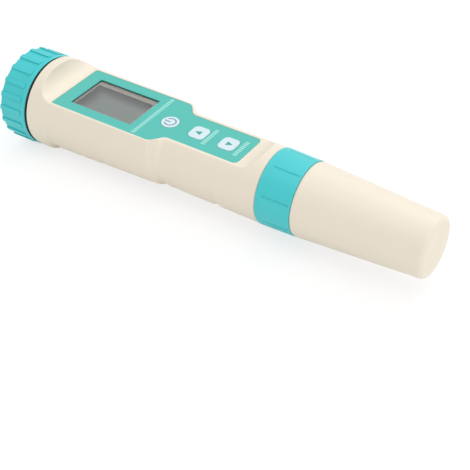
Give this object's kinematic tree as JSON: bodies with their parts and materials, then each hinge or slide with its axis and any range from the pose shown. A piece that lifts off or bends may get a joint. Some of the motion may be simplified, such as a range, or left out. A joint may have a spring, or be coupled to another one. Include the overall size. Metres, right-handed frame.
{
  "type": "multiparameter water quality meter",
  "caption": "Pen-shaped water tester with a display, three keys, a ribbed screw battery cap, a lock ring and a tapered protective cap over its sensor probe.",
  "frame": {"origin": "under the middle of the meter, on the surface that its back lies on", "axes": "+X along the barrel from the battery cap to the protective cap, +Z out of the display"},
  "size_m": [0.188, 0.0382, 0.0384],
  "materials": {
    "cream_plastic": "fine satin",
    "turquoise_plastic": "satin",
    "overlay_film": "satin film",
    "clear_window": "clear polished",
    "frame_plastic": "satin",
    "display_glass": "gloss",
    "key_plastic": "satin",
    "black_plastic": "satin",
    "seal_rubber": "matte",
    "board_laminate": "solder mask gloss",
    "cell_steel": "satin",
    "contact_nickel": "plated",
    "gold_contact": "plated",
    "probe_plastic": "satin",
    "sensor_glass": "clear",
    "junction_ceramic": "matte",
    "sensor_steel": "polished",
    "sponge_foam": "open foam"
  },
  "bodies": {
    "barrel": {"housing": "cream_plastic", "face_overlay": "overlay_film", "display_window": "clear_window", "battery_holder": "black_plastic", "button_cell_1": "cell_steel", "button_cell_2": "cell_steel", "button_cell_3": "cell_steel", "button_cell_4": "cell_steel", "negative_contact": "contact_nickel", "positive_contact": "contact_nickel", "display_frame": "frame_plastic", "display_panel": "display_glass", "display_connector_near": "seal_rubber", "display_connector_far": "seal_rubber", "circuit_board": "board_laminate", "board_screws": "sensor_steel", "processor": "black_plastic", "power_switch": "black_plastic", "up_switch": "black_plastic", "down_switch": "black_plastic", "probe_socket": "black_plastic"},
    "cap_screw": {"battery_cap_seal": "seal_rubber"},
    "battery_lid": {"battery_cap": "turquoise_plastic"},
    "probe": {"probe_body": "probe_plastic", "probe_pins": "gold_contact", "probe_cap_seal": "seal_rubber", "glass_bulb": "sensor_glass", "reference_junction": "junction_ceramic", "redox_electrode": "sensor_glass", "conductivity_pins": "sensor_steel", "temperature_sensor": "sensor_steel"},
    "ring": {"lock_ring": "turquoise_plastic"},
    "cover": {"protective_cap": "cream_plastic", "storage_sponge": "sponge_foam"},
    "power_button": {"power_key": "key_plastic"},
    "up_button": {"up_key": "key_plastic"},
    "down_button": {"down_key": "key_plastic"}
  },
  "joints": [
    {"name": "battery_cap_turn", "type": "hinge", "parent": "cap_screw", "child": "battery_lid", "pos_m": [-0.08665, 0, 0.01909], "axis": [-1, 0, 0], "range_deg": [0, 1080]},
    {"name": "battery_cap_travel", "type": "slide", "parent": "barrel", "child": "cap_screw", "axis": [-1, 0, 0], "range_m": [0, 0.0075]},
    {"name": "lock_ring_turn", "type": "hinge", "parent": "probe", "child": "ring", "pos_m": [0.03515, 0, 0.01909], "axis": [1, 0, 0], "range_deg": [0, 1080]},
    {"name": "probe_travel", "type": "slide", "parent": "barrel", "child": "probe", "axis": [1, 0, 0], "range_m": [0, 0.0075]},
    {"name": "protective_cap_pull", "type": "slide", "parent": "probe", "child": "cover", "axis": [1, 0, 0], "range_m": [0, 0.045]},
    {"name": "power_press", "type": "slide", "parent": "barrel", "child": "power_button", "axis": [0, 0, -1], "range_m": [0, 0.0004], "stiffness_N_per_m": 4000, "springref_m": -0.0001},
    {"name": "up_press", "type": "slide", "parent": "barrel", "child": "up_button", "axis": [0, 0, -1], "range_m": [0, 0.0004], "stiffness_N_per_m": 4000, "springref_m": -0.0001},
    {"name": "down_press", "type": "slide", "parent": "barrel", "child": "down_button", "axis": [0, 0, -1], "range_m": [0, 0.0004], "stiffness_N_per_m": 4000, "springref_m": -0.0001}
  ],
  "couplings": [
    {"joint": "battery_cap_travel", "follows": "battery_cap_turn", "m_per_rad": 0.00039789},
    {"joint": "probe_travel", "follows": "lock_ring_turn", "m_per_rad": 0.00039789}
  ]
}
